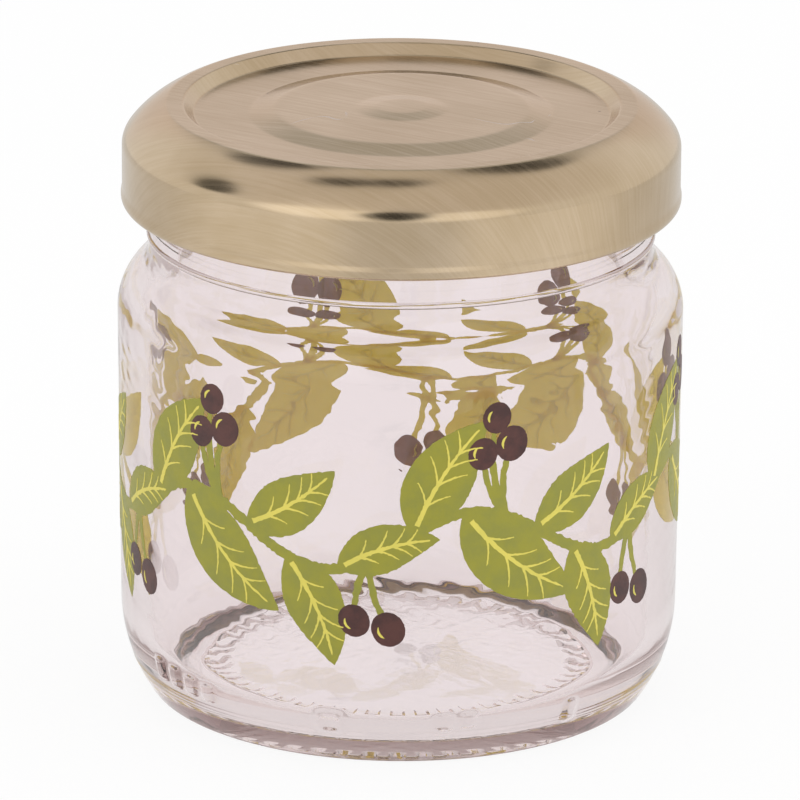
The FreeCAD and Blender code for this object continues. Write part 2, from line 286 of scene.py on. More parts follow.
def surfaceOf(tree, shader, **more):
    addNode(tree, "ShaderNodeOutputMaterial", {"Surface": shader, **more})


# Shared finishes

def makeBrushing():
    # long fine lines along V of the flat sheet, and soft clouds over it
    group, take, give = newGroup("brushing", [
        ("Flat Sheet", "Vector", None),
        ("Lines per Metre", "Float", 6000.0),
        ("Length", "Float", 15.0),
        ("Clouds per Metre", "Float", 70.0),
    ], [("Lines", "Float"), ("Clouds", "Float")])
    stretch = addNode(group, "ShaderNodeCombineXYZ", {
        "X": take["Lines per Metre"],
        "Y": mathNode(group, "DIVIDE", take["Lines per Metre"], take["Length"]),
    })
    sheet = vectorNode(group, "MULTIPLY", take["Flat Sheet"], stretch.outputs[0])
    fine = noiseNode(group, sheet, 1.0, 4.0, Roughness=0.7)
    cloud = noiseNode(group, take["Flat Sheet"], take["Clouds per Metre"], 3.0)
    group.links.new(fine, give["Lines"])
    group.links.new(cloud, give["Clouds"])
    return group


def makeHandling():
    # dark specks, and stray scratches in patches
    group, take, give = newGroup("handling", [
        ("Place", "Vector", None),
        ("Specks per Metre", "Float", 300.0),
        ("Speck Size", "Float", 0.06),
        ("Scratch Width", "Float", 0.006),
    ], [("Specks", "Float"), ("Scratches", "Float")])
    dots = addNode(group, "ShaderNodeTexVoronoi", {
        "Vector": take["Place"], "Scale": take["Specks per Metre"], "Randomness": 1.0,
    })
    near = mathNode(group, "LESS_THAN", dots.outputs["Distance"], take["Speck Size"])
    chance = addNode(group, "ShaderNodeSeparateColor", {"Color": dots.outputs["Color"]}).outputs[0]
    some = mathNode(group, "GREATER_THAN", chance, 0.6)
    group.links.new(times(group, near, some), give["Specks"])
    hairScale = times(group, take["Specks per Metre"], 0.35)
    hair = noiseNode(group, take["Place"], hairScale, 1.5, Distortion=0.6)
    away = mathNode(group, "ABSOLUTE", mathNode(group, "SUBTRACT", hair, 0.5))
    line = mathNode(group, "LESS_THAN", away, take["Scratch Width"])
    patchScale = times(group, take["Specks per Metre"], 0.4)
    kept = spread(group, noiseNode(group, take["Place"], patchScale, 3.0), 0.63, 0.68)
    group.links.new(times(group, line, kept), give["Scratches"])
    return group


def makeUnevenLayer():
    # blotches and fine grain of a fired or poured layer
    group, take, give = newGroup("unevenLayer", [
        ("Place", "Vector", None),
        ("Colour", "Color", None),
        ("Shade", "Color", None),
        ("Blotches per Metre", "Float", 400.0),
        ("Contrast", "Float", 0.6),
    ], [("Colour", "Color"), ("Roughness", "Float"), ("Height", "Float")])
    blotch = noiseNode(group, take["Place"], take["Blotches per Metre"], 5.0, Roughness=0.65)
    grainScale = times(group, take["Blotches per Metre"], 14.0)
    grain = noiseNode(group, take["Place"], grainScale, 2.0)
    share = times(group, spread(group, blotch, 0.36, 0.66), take["Contrast"])
    group.links.new(mixColour(group, share, take["Colour"], take["Shade"]), give["Colour"])
    group.links.new(spread(group, grain, 0.2, 0.8, 0.3, 0.55), give["Roughness"])
    group.links.new(mathNode(group, "ADD", blotch, grain), give["Height"])
    return group


brushing = makeBrushing()
handling = makeHandling()
unevenLayer = makeUnevenLayer()

goldLook = {
    "metal": (0.48, 0.368, 0.230, 1.0),
    "worn": (0.73, 0.597, 0.450, 1.0),
    "speck": (0.16, 0.11, 0.08, 1.0),
    "scratch": (0.82, 0.77, 0.79, 1.0),
    "lines": 2600.0,  # across one metre
    "lineLength": 34.0,  # in line widths
    "lineEdges": (0.3, 0.72),  # noise where a line starts and is full
    "lineShare": 0.46,
    "skirtShare": 0.45,  # part of the lines that is left on upright faces
    "cloudEdges": (0.3, 0.7),
    "cloudShare": 0.30,
    "specks": 240.0,  # across one metre
    "speckSize": 0.034,  # in speck spacings
    "speckShare": 0.8,
    "scratchWidth": 0.003,
    "scratchShare": 0.7,
    "scratchRoughness": 0.2,  # added to the roughness along a scratch
    "upright": (0.92, 0.995),  # upward part of the normal, from a skirt's face to a flat one
    "roughEdges": (0.25, 0.75),
    "roughness": (0.16, 0.22),
    "anisotropy": 0.35,
    "lineBump": (0.6, 0.0006),  # strength, then height
}


def brushSheet(tree, look):
    # the brushing, with its roughness and its normal
    sheet = addNode(tree, "ShaderNodeUVMap", uv_map="flatSheet").outputs[0]
    brushed = placeGroup(tree, brushing, {
        "Flat Sheet": sheet, "Lines per Metre": look.lines, "Length": look.lineLength,
    })
    rough = spread(tree, brushed["Lines"], *look.roughEdges, *look.roughness)
    return brushed, rough, bumpNode(tree, brushed["Lines"], *look.lineBump)


def makeGold():
    look = named(goldLook)
    material, tree = newMaterial("brushedGold")
    brushed, rough, bump = brushSheet(tree, look)
    handled = placeGroup(tree, handling, {
        "Place": objectPlace(tree), "Specks per Metre": look.specks, "Speck Size": look.speckSize,
        "Scratch Width": look.scratchWidth,
    })
    normal = addNode(tree, "ShaderNodeNewGeometry").outputs["Normal"]
    upward = addNode(tree, "ShaderNodeSeparateXYZ", {"Vector": normal}).outputs["Z"]
    lines = spread(tree, brushed["Lines"], *look.lineEdges, 0.0, look.lineShare)
    flatShare = spread(tree, upward, *look.upright, look.skirtShare, 1.0)
    lines = times(tree, lines, flatShare)
    cloudy = spread(tree, brushed["Clouds"], *look.cloudEdges, 0.0, look.cloudShare)
    share = mathNode(tree, "ADD", lines, cloudy, clamp=True)
    metal = mixColour(tree, share, look.metal, look.worn)
    scratched = times(tree, handled["Scratches"], look.scratchShare)
    metal = mixColour(tree, scratched, metal, look.scratch)
    specked = times(tree, handled["Specks"], look.speckShare)
    metal = mixColour(tree, specked, metal, look.speck)
    rougher = times(tree, handled["Scratches"], look.scratchRoughness)
    rough = mathNode(tree, "ADD", rough, rougher)
    tangent = addNode(tree, "ShaderNodeTangent", direction_type="UV_MAP", uv_map="flatSheet")
    shader = addNode(tree, "ShaderNodeBsdfPrincipled", {
        "Base Color": metal, "Roughness": rough, "Metallic": 1.0, "Anisotropic": look.anisotropy,
        "Normal": bump, "Tangent": tangent.outputs[0],
    })
    surfaceOf(tree, shader.outputs[0])
    return material


insideLook = {
    "lacquer": (0.34, 0.27, 0.10, 1.0),
    "thin": (0.46, 0.37, 0.17, 1.0),
    "lines": 2600.0,  # across one metre
    "lineLength": 12.0,  # in line widths
    "lineBump": (0.3, 0.003),
    "cloudEdges": (0.3, 0.7),
    "roughEdges": (0.25, 0.75),
    "roughness": (0.28, 0.42),
    "coat": 0.3,
}


def makeInsideLacquer():
    look = named(insideLook)
    material, tree = newMaterial("insideLacquer")
    brushed, rough, bump = brushSheet(tree, look)
    worn = spread(tree, brushed["Clouds"], *look.cloudEdges)
    coat = mixColour(tree, worn, look.lacquer, look.thin)
    shader = addNode(tree, "ShaderNodeBsdfPrincipled", {
        "Base Color": coat, "Roughness": rough, "Metallic": 1.0, "Coat Weight": look.coat, "Normal": bump,
    })
    surfaceOf(tree, shader.outputs[0])
    return material


glassLook = {
    # the glass's pink tint is painted: it stands in for pinkish-grey surroundings seen through the glass
    "tint": (0.998, 0.972, 0.982, 1.0),
    "depth": (0.29, 0.03, 0.0, 1.0),  # colour that thick glass takes on, pink and darker as painted shade of the surroundings seen through it
    "depthPerMetre": 42.0,
    "refraction": 1.5,
    "smears": 120.0,  # across one metre
    "smearEdges": (0.45, 0.8),
    "roughness": (0.0, 0.03),
    "waves": 260.0,  # across one metre
    "waveBump": (0.25, 0.02),
    "shadow": (0.995, 0.985, 0.98, 1.0),
    "mirrorings": 1.5,  # light that has mirrored more often than this leaves the glass straight
}


def makeGlass():
    look = named(glassLook)
    material, tree = newMaterial("clearGlass")
    place = objectPlace(tree)
    smear = noiseNode(tree, place, look.smears, 3.0)
    rough = spread(tree, smear, *look.smearEdges, *look.roughness)
    wave = noiseNode(tree, place, look.waves, 1.0)
    bump = bumpNode(tree, wave, *look.waveBump)
    shader = addNode(tree, "ShaderNodeBsdfPrincipled", {
        "Base Color": look.tint, "Roughness": rough, "IOR": look.refraction,
        "Transmission Weight": 1.0, "Normal": bump,
    })
    clear = addNode(tree, "ShaderNodeBsdfTransparent", {"Color": look.shadow})
    ray = addNode(tree, "ShaderNodeLightPath").outputs
    deep = mathNode(tree, "GREATER_THAN", ray["Glossy Depth"], look.mirrorings)
    straight = mathNode(tree, "MAXIMUM", ray["Is Shadow Ray"], deep)
    both = addNode(tree, "ShaderNodeMixShader", {0: straight, 1: shader.outputs[0], 2: clear.outputs[0]})
    deepness = {"Color": look.depth, "Density": look.depthPerMetre}
    inner = addNode(tree, "ShaderNodeVolumeAbsorption", deepness)
    surfaceOf(tree, both.outputs[0], Volume=inner.outputs[0])
    return material


# screen colour, its shade and the contrast of the blotches
inkLooks = {
    "greenInk": ((150, 146, 44), (132, 134, 58), 0.6),
    "yellowInk": ((222, 208, 92), (206, 196, 88), 0.5),
    "brownInk": ((84, 46, 40), (58, 30, 28), 0.9),
    # the undersides, painted paler than the inks as painted light where they show through the glass; some
    # real light also comes through the ink
    "greenUnder": ((255, 240, 112), (250, 228, 96), 0.5),
    "yellowUnder": ((255, 250, 150), (255, 244, 138), 0.5),
    "brownUnder": ((168, 128, 108), (148, 108, 92), 0.6),
}
inkLayer = {
    "blotches": 420.0,  # across one metre
    "lumpBump": (0.35, 0.01),
    "glow": 0.5,  # share of the undersides' light that comes through from outside
    "gloss": 0.5,
}


def layerSockets(tree, colour, shade, contrast, body):
    # what a shader takes from an uneven layer
    layer = placeGroup(tree, unevenLayer, {
        "Place": objectPlace(tree), "Colour": toLinear(*colour), "Shade": toLinear(*shade),
        "Blotches per Metre": body.blotches, "Contrast": contrast,
    })
    bump = bumpNode(tree, layer["Height"], *body.lumpBump)
    return {"Base Color": layer["Colour"], "Roughness": layer["Roughness"], "Normal": bump}


def makeInk(name):
    underside = name.endswith("Under")
    material, tree = newMaterial(name)
    body = named(inkLayer)
    layer = layerSockets(tree, *inkLooks[name], body)
    gloss = 0.0 if underside else body.gloss  # the undersides touch the glass
    shader = addNode(tree, "ShaderNodeBsdfPrincipled", {**layer, "Specular IOR Level": gloss})
    if underside:
        glow = addNode(tree, "ShaderNodeBsdfTranslucent", {"Color": layer["Base Color"]})
        share = body.glow
    else:
        glow = addNode(tree, "ShaderNodeBsdfTransparent")
        share = addNode(tree, "ShaderNodeNewGeometry").outputs["Backfacing"]
    both = addNode(tree, "ShaderNodeMixShader", {0: share, 1: shader.outputs[0], 2: glow.outputs[0]})
    surfaceOf(tree, both.outputs[0])
    return material


sealLook = {
    "layer": ((222, 214, 200), (186, 176, 160), 0.5),  # as for the inks
    "blotches": 260.0,  # across one metre
    "lumpBump": (0.5, 0.03),
    "softShare": 0.1,
    "softDepth": 0.5,
}


def makeSealCompound():
    look = named(sealLook)
    material, tree = newMaterial("sealCompound")
    shader = addNode(tree, "ShaderNodeBsdfPrincipled", {
        **layerSockets(tree, *look.layer, look),
        "Subsurface Weight": look.softShare, "Subsurface Scale": look.softDepth * mm,
    })
    surfaceOf(tree, shader.outputs[0])
    return material


goldMaterial = makeGold()
insideMaterial = makeInsideLacquer()
glassMaterial = makeGlass()
sealMaterial = makeSealCompound()
inkMaterials = {name: makeInk(name) for name in inkLooks}
print("materials made")


# Glass jar

bodyRadius, _, rimHeight = cadSize("glass_jar")

jar = {
    "segments": 480,
    "inkRoom": 0.08,  # the glass lies this much inside the CAD body, so that the print fits in its box
    "wall": 2.9,
    "neckRadius": 25.25,
    "neckLength": 13.3,
    "neckFillet": 2.3,
    "shoulderRadius": 6.0,
    "draft": 0.25,  # loss of radius from the shoulder to the heel
    "rimRound": 1.0,
    "seamRise": 1.0,
    "seamHeight": 0.7,
    "seamBulge": 0.2,
    "heelRadius": 15.9,
    "heelTurn": math.radians(34),
    "footRadius": 0.75,
    "plateSeam": 3.4,  # height of the line that the mould's bottom plate leaves
    "plateRidge": 0.05,
    "plateRidgeWidth": 0.3,
    "markEdges": (1.2, 0.75),  # shares of its half size where a mark starts and is full
    "bearingWidth": 4.5,
    "pushupHeight": 0.75,
    "pushupRun": 0.6,
    "pushupCrown": 1.6,
    "floorHeight": 2.2,
    "floorCrown": 1.4,
    "floorSlack": 0.2,
    "innerCorner": 6.0,
    "barCount": 48,
    "barLength": 1.9,
    "barDrop": 0.55,
    "barInset": 0.2,
    "barEdges": (-0.3, 0.4),  # cosine where a bar starts and is full
    "barFade": (0.3, 0.2),  # how far its ends soften towards the axis and away from it
    "wallRipple": 0.012,
    "wallWrinkle": 0.004,
    "wallFade": 4.0,
    "rimFade": (3.0, 8.0),  # below the rim, where the ripples start and are full
    "foldSide": (-0.55, -0.95),  # cosine round the jar where the folds start and are full
    "floorRipple": 0.014,
    "floorFade": 2.0,
    "plateRipple": 0.008,
    "plateFade": 3.0,
}
thread = {
    "depth": 1.15,
    "height": 1.5,
    "slope": 0.6,
    "lead": 14.0,
    "span": math.radians(100),
    "count": 4,
    "foot": cadSize("lid_shell")[1] + 1.3,
    "soft": 0.4,
    "fade": math.radians(8),
    "rowsBelow": 0.6,  # the neck's fine rows start this far below the foot
}
# raised marks on the heel, and one hollow: degrees round from the front, height, half width,
# half height, rise
mouldMarks = [
    (-58, 5.9, 0.9, 1.2, 0.30), (-53, 5.7, 0.9, 1.2, 0.30), (-48, 5.5, 0.9, 1.1, 0.28),
    (-43, 5.3, 0.9, 1.0, 0.26), (-14, 4.9, 1.6, 1.3, 0.26), (-14, 4.6, 0.7, 0.7, -0.26),
    (9.6, 5.0, 1.0, 0.9, 0.30), (14.6, 5.1, 0.8, 0.9, 0.30), (9.2, 3.8, 0.8, 0.6, 0.24),
    (38.5, 4.3, 0.7, 1.3, 0.30),
]


def jarPlaces():
    # places that both sides of the glass follow
    size = named(jar)
    at = SimpleNamespace(radius=bodyRadius - size.inkRoom, flareTop=rimHeight - size.neckLength)
    together = size.neckFillet + size.shoulderRadius
    at.flareCosine = 1 - (at.radius - size.neckRadius) / together
    at.flareSine = math.sqrt(1 - at.flareCosine ** 2)
    at.flareFoot = at.flareTop - at.flareSine * together
    at.heelBody = at.radius - size.draft
    at.kneeRadius = at.heelBody - size.heelRadius * (1 - math.cos(size.heelTurn))
    at.kneeHeight = size.footRadius * (1 - math.sin(size.heelTurn))
    at.heelTop = at.kneeHeight + size.heelRadius * math.sin(size.heelTurn)
    at.bearingOuter = at.kneeRadius - size.footRadius * math.cos(size.heelTurn)
    at.bearingInner = at.bearingOuter - size.bearingWidth
    at.pushupEdge = at.bearingInner - size.pushupRun
    return at


places = jarPlaces()


def bowRadius(halfChord, bulge):
    return (halfChord ** 2 + bulge ** 2) / (2 * bulge)


def outsideOfJar():
    size = named(jar)
    at = places
    neck = size.neckRadius
    fillet = size.neckFillet
    filletFoot = (neck + fillet * (1 - at.flareCosine), at.flareTop - at.flareSine * fillet)
    seamFoot = at.flareTop + size.seamRise
    seamBow = bowRadius(size.seamHeight / 2, size.seamBulge)
    pushupBow = bowRadius(at.pushupEdge, size.pushupCrown)
    return traceOutline((0, size.pushupHeight + size.pushupCrown), [
        (at.pushupEdge, size.pushupHeight, 0.5, pushupBow, "right"),
        (at.bearingInner, 0, 0.15),
        (at.bearingOuter, 0, 0.5),
        (at.kneeRadius, at.kneeHeight, 0.12, size.footRadius, "left"),
        (at.heelBody, at.heelTop, 0.14, size.heelRadius, "left"),
        (at.radius, at.flareFoot, 2.0),
        (*filletFoot, 0.3, size.shoulderRadius, "left"),
        (neck, at.flareTop, 0.25, fillet, "right"),
        (neck, seamFoot, 0.25),
        (neck, seamFoot + size.seamHeight, 0.1, seamBow, "left"),
        (neck, thread["foot"] - thread["rowsBelow"], 1.0),
        (neck, rimHeight - size.rimRound, 0.1),
        (neck - size.rimRound, rimHeight, 0.15, size.rimRound, "left"),
    ])


def insideOfJar():
    size = named(jar)
    at = places
    bore = size.neckRadius - size.wall
    inside = at.radius - size.wall
    heelInside = at.heelBody - size.wall
    hollow = size.neckFillet + size.wall
    hollowFoot = (bore + hollow * (1 - at.flareCosine), at.flareTop - at.flareSine * hollow)
    floorEdge = heelInside - size.innerCorner
    floorBow = bowRadius(floorEdge, size.floorCrown)
    return traceOutline((bore + size.rimRound, rimHeight), [
        (bore, rimHeight - size.rimRound, 0.15, size.rimRound, "left"),
        (bore, at.flareTop, 1.2),
        (*hollowFoot, 0.3, hollow, "left"),
        (inside, at.flareFoot, 0.3, size.shoulderRadius - size.wall, "right"),
        (heelInside, size.floorHeight + size.innerCorner, 0.25),
        (floorEdge, size.floorHeight, 0.35, size.innerCorner, "right"),
        (0, size.floorHeight + size.floorCrown, 0.8, floorBow, "left"),
    ])


def threadRise(angles, heights):
    size = named(thread)
    rise = np.zeros_like(heights)
    for number in range(size.count):
        turned = (angles - number * fullTurn / size.count) % fullTurn
        above = heights - size.foot - size.lead * turned / fullTurn
        section = window(above, 0, size.soft, size.height - size.slope, size.height)
        ends = window(turned, 0, size.fade, size.span - size.fade, size.span)
        rise = np.maximum(rise, size.depth * section * ends)
    return rise


def waves(seed, count, firstRange, secondRange, whole=False):
    # a fixed sum of sine waves over two coordinates, about 1 high; whole ones close round the jar
    draw = np.random.default_rng(seed)
    first = draw.uniform(*firstRange, count) * draw.choice([-1, 1], count)
    second = draw.uniform(*secondRange, count)
    phase = draw.uniform(0, fullTurn, count)
    if whole:
        first = np.round(first)

    def height(across, up):
        total = 0
        for acrossRate, upRate, shift in zip(first, second, phase):
            total = total + np.sin(acrossRate * across + upRate * up + shift)
        return total / math.sqrt(count)

    return height


def makeJar():
    size = named(jar)
    pushupEdge = places.pushupEdge
    outside = outsideOfJar()
    outline = np.concatenate([outside, insideOfJar()])
    wallWaves = waves(3, 9, (2, 14), (0.02, 0.3), whole=True)
    wrinkles = waves(4, 14, (6, 60), (1.5, 4.5), whole=True)
    folds = waves(7, 7, (30, 70), (0.02, 0.12), whole=True)
    floorWaves = waves(5, 12, (0.2, 1.1), (0.2, 1.1))
    plateWaves = waves(6, 16, (0.5, 3.0), (1.0, 4.0))

    def reshape(radii, heights, angles):
        outer = np.arange(len(radii))[:, None] < len(outside)
        x = radii * np.cos(angles)
        y = radii * np.sin(angles)
        newRadii = radii.copy()
        newHeights = heights.copy()
        # threads
        neck = outer & (heights < rimHeight - size.rimRound)
        newRadii += neck * threadRise(angles, heights)
        # bars under the base
        under = outer & (radii < pushupEdge)
        bars = smoothStep(*size.barEdges, np.cos(size.barCount * angles))
        inward, outward = size.barFade
        barOuter = pushupEdge - size.barInset
        barInner = barOuter - size.barLength
        band = window(radii, barInner - inward, barInner + outward, barOuter - inward, barOuter + outward)
        newHeights -= under * size.barDrop * bars * band
        fade = size.plateFade
        plateShare = under * window(radii, 0, fade, pushupEdge - fade, pushupEdge)
        newHeights += size.plateRipple * plateShare * plateWaves(x, y)
        # line of the bottom plate, and the marks on the heel
        heel = outer & (radii > pushupEdge)
        seamAway = (heights - size.plateSeam) / size.plateRidgeWidth
        newRadii += heel * size.plateRidge * np.exp(-seamAway ** 2)
        for degrees, height, halfWide, halfHigh, rise in mouldMarks:
            middle = frontAngle + math.radians(degrees)
            away = (angles - middle + math.pi) % fullTurn - math.pi
            sideways = away * bodyRadius / halfWide
            upward = (heights - height) / halfHigh
            reach = np.sqrt(sideways ** 4 + upward ** 4) ** 0.5
            newRadii += heel * rise * smoothStep(*size.markEdges, reach)
        # ripples of the blown inside
        low = size.floorHeight + size.floorCrown + size.floorSlack
        high = low + size.wallFade
        start, full = size.rimFade
        wallShare = ~outer * window(heights, low, high, rimHeight - full, rimHeight - start)
        newRadii -= wallShare * size.wallRipple * wallWaves(angles, heights)
        newRadii -= wallShare * size.wallWrinkle * wrinkles(angles, heights)
        leftSide = smoothStep(*size.foldSide, np.cos(angles))
        newRadii -= wallShare * leftSide * size.wallWrinkle * folds(angles, heights)
        floorShare = ~outer * smoothStep(high, low, heights) * smoothStep(0, size.floorFade, radii)
        newHeights += floorShare * size.floorRipple * floorWaves(x, y)
        return newRadii, newHeights

    piece = turnPiece("glassBody", outline, size.segments, [glassMaterial], reshape=reshape)
    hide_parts("glass_jar")
    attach(piece, "jar")
    print("glass jar made")


makeJar()


# Printed garland, fired onto the glass

garland = {
    "height": 24.0,
    "swing": 3.0,
    "repeats": 6,
    "roughEdge": 0.035,
    "leastHalf": 0.02,
    "stemWidth": 1.1,
    "stemRough": 0.06,
    "stalkHalves": (0.42, 0.28),  # half widths at the foot and at the berry
    "stalkRough": 0.05,
    "veinPlaces": (0.24, 0.40, 0.56, 0.70),
    "veinDegrees": 42,
    "veinReach": 0.70,  # share of the way to the leaf's edge
    "veinTrim": 0.92,
    "veinHalf": 0.13,
    # each repeat's leaves: share along, degrees, sway, length, width, bend
    "leaves": [
        (0.05, 58, 6, 13.5, 6.6, 0.06),
        (0.22, -42, 5, 15.5, 7.2, -0.07),
        (0.47, 40, 6, 11.5, 5.6, -0.05),
        (0.62, -66, 6, 12.0, 6.0, 0.06),
        (0.80, 22, 5, 10.5, 5.0, 0.08),
    ],
    # its berries: share along, stalk's bend, lean in degrees, then each berry's place and size
    "clusters": [
        (0.36, 0.08, 70, [(-2.4, 6.6, 3.0), (0.6, 7.4, 3.3), (-1.0, 10.2, 2.9)]),
        (0.90, -0.06, 100, [(-1.4, -6.4, 3.1), (2.0, -7.2, 3.3)]),
    ],
    "clusterSway": 20,
    # each ink's slot, and its inner and outer face from the wall
    "films": {
        "greenInk": ("green_print", -0.020, 0.025),
        "brownInk": ("brown_print", -0.028, 0.035),
        "yellowInk": ("yellow_print", -0.036, 0.050),
    },
}
unrolled = fullTurn * places.radius
printDraw = np.random.default_rng(11)


def unevenHalf(halfWidths, rough):
    wobble = rough * printDraw.normal(size=len(halfWidths)) * (halfWidths > rough)
    return np.maximum(halfWidths + wobble, garland["leastHalf"])


def strokeGrid(line, halfWidths, columns, rough):
    # a strip of points either side of a line on the unrolled wall, with an uneven edge
    run = np.gradient(line, axis=0)
    run /= np.maximum(np.hypot(*run.T)[:, None], 1e-9)
    across = np.column_stack([-run[:, 1], run[:, 0]])
    left = unevenHalf(halfWidths, rough)
    right = unevenHalf(halfWidths, rough)
    share = np.linspace(-1, 1, columns)
    width = np.where(share[None] < 0, left[:, None], right[:, None]) * share[None]
    return line[:, None, :] + width[..., None] * across[:, None, :]


def wayOf(degrees):
    return np.array([math.cos(math.radians(degrees)), math.sin(math.radians(degrees))])


def leafLine(base, degrees, length, bend, steps=46):
    share = np.linspace(0, 1, steps)[:, None]
    way = wayOf(degrees)
    side = np.array([-way[1], way[0]])
    return np.array(base) + length * (share * way + 4 * bend * share * (1 - share) * side)


def addLeaf(films, base, degrees, length, width, bend):
    rough = garland["roughEdge"]
    line = leafLine(base, degrees, length, bend)
    share = np.linspace(0, 1, len(line))
    half = width / 2 * np.sin(math.pi * share ** 0.8) ** 0.85
    films["greenInk"].append(strokeGrid(line, half, 9, rough))
    rib = np.where(share < 0.9, 0.20 * (1 - share) + 0.08, 0.06)
    films["yellowInk"].append(strokeGrid(line[3:-4], rib[3:-4], 3, 0.03))
    run = np.gradient(line, axis=0)
    run /= np.hypot(*run.T)[:, None]
    branch = garland["veinDegrees"]
    for place in garland["veinPlaces"]:
        index = int(place * (len(line) - 1))
        ahead = math.degrees(math.atan2(run[index, 1], run[index, 0]))
        reach = garland["veinReach"] * half[index] / math.sin(math.radians(branch)) * garland["veinTrim"]
        for side in (1, -1):
            vein = leafLine(line[index], ahead + side * branch, reach, -side * 0.06, steps=14)
            taper = garland["veinHalf"] * (1 - 0.6 * np.linspace(0, 1, len(vein)))
            films["yellowInk"].append(strokeGrid(vein, taper, 3, 0.02))


def addBerry(films, middle, size, degrees):
    rough = garland["roughEdge"]
    share = np.linspace(0.01, 0.99, 25)
    line = np.array(middle) + (share[:, None] - 0.5) * size * 1.12 * wayOf(degrees)
    half = size / 2 * np.sqrt(1 - (2 * share - 1) ** 2)
    films["brownInk"].append(strokeGrid(line, half, 9, rough * 0.5))
    turn = np.radians(np.linspace(degrees + 50, degrees + 130, 9))
    glint = np.array(middle) + 0.30 * size * np.column_stack([np.cos(turn), np.sin(turn)])
    films["yellowInk"].append(strokeGrid(glint, 0.13 * np.sin(np.linspace(0.3, 2.84, 9)), 3, 0.01))


def stemHeight(along):
    turn = fullTurn * garland["repeats"] * along / unrolled
    return garland["height"] + garland["swing"] * math.sin(turn)


def addStalk(films, start, end, bend):
    along = end - start
    length = float(np.hypot(*along))
    line = leafLine(start, math.degrees(math.atan2(along[1], along[0])), length, bend, steps=20)
    halves = np.linspace(*garland["stalkHalves"], len(line))
    films["greenInk"].append(strokeGrid(line, halves, 3, garland["stalkRough"]))


def drawGarland():
    films = {name: [] for name in garland["films"]}
    along = np.linspace(0, unrolled, 720)
    stem = np.column_stack([along, [stemHeight(place) for place in along]])
    halves = np.full(len(stem), garland["stemWidth"] / 2)
    films["greenInk"].append(strokeGrid(stem, halves, 3, garland["stemRough"]))
    step = unrolled / garland["repeats"]
    for number in range(garland["repeats"]):
        start = number * step
        jitter = printDraw.uniform(-1, 1, 8)
        for (share, degrees, sway, length, width, bend), turn in zip(garland["leaves"], jitter):
            place = start + share * step
            addLeaf(films, (place, stemHeight(place)), degrees + sway * turn, length, width, bend)
        for (share, bend, lean, berries), turn in zip(garland["clusters"], jitter[5:]):
            place = start + share * step
            foot = np.array([place, stemHeight(place)])
            for across, up, size in berries:
                berry = foot + np.array([across, up])
                addStalk(films, foot, berry, bend)
                addBerry(films, berry, size, lean + garland["clusterSway"] * turn)
    return films


def wrapFilm(name, grids, inner, outer):
    # closes each strip into a thin film and wraps it round the jar
    points = []
    faces = []
    slots = []
    for grid in grids:
        rows, columns, _ = grid.shape
        offset = sum(len(part) for part in points)
        angle = frontAngle + grid[..., 0] / places.radius
        wall = np.interp(grid[..., 1], [places.heelTop, places.flareFoot], [places.heelBody, places.radius])
        for depth in (outer, inner):
            points.append(aroundAxis(wall + depth, grid[..., 1], angle))
        top = np.arange(rows * columns).reshape(rows, columns) + offset
        low = top + rows * columns
        for sheet, flip in ((top, False), (low, True)):
            quads = np.stack([sheet[:-1, :-1], sheet[1:, :-1], sheet[1:, 1:], sheet[:-1, 1:]], axis=-1)
            quads = quads.reshape(-1, 4)
            faces += (quads[:, ::-1] if flip else quads).tolist()
            slots += [int(flip)] * len(quads)
        rim = np.concatenate([top[0, :-1], top[:-1, -1], top[-1, :0:-1], top[:0:-1, 0]])
        lowRim = rim + rows * columns
        faces += np.column_stack([rim, np.roll(rim, -1), np.roll(lowRim, -1), lowRim]).tolist()
        slots += [0] * len(rim)
    # the inner faces take the underside look, painted paler than the ink as painted light
    sides = [inkMaterials[name], inkMaterials[name.replace("Ink", "Under")]]
    label = name.replace("Ink", "Print")
    return finishPiece(label, np.concatenate(points) * mm, faces, sides, slots, flatAngle=35)


for inkName, grids in drawGarland().items():
    slot, inner, outer = garland["films"][inkName]
    film = wrapFilm(inkName, grids, inner, outer)
    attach(film, "jar")
print("print made")


# Lid

lidRadius, lidBottom, lidTop = cadSize("lid_shell")

lid = {
    "segments": 384,
    "sheet": 0.2,
    "corner": 2.0,
    "shoulder": 9.4,
    "shoulderTurn": (math.radians(21.5), math.radians(52.5)),
    "ringWidth": 1.65,
    "panelDepth": 1.1,
    "panelRun": 1.1,
    "curl": 0.65,
    "curlGap": 0.1,  # between the end of the roll and a full round
    "bead": 0.12,  # how far the rolled edge stands proud of the skirt
    "beadRun": (0.9, 0.25),  # above the middle of the roll, where the bead starts and is full
    "lugReach": 25.6,
    "lugSpan": math.radians(16),
    "lugCount": 4,
    "lugEase": (0.01, 0.05),  # radians over which a lug's ends fade, outside and inside its span
    "lugFoot": 0.2,
    "lugHeight": 0.9,
    "rollStart": 0.9,  # the squeezed part of the roll starts here, in curl radii from the skirt
    "rollRun": 1.1,
    "rollSlack": 0.1,
    "grain": (0.85, -0.53),
    "seam": 18.0,  # where the pressed middle meets the rest, in the flat of the panel
    "spacing": 0.12,
}
button = {
    "radius": 12.6,
    "run": 2.6,
    "rise": 0.5,
    "bossRadius": 2.4,
    "bossRun": 2.2,
    "bossRise": 0.2,
}


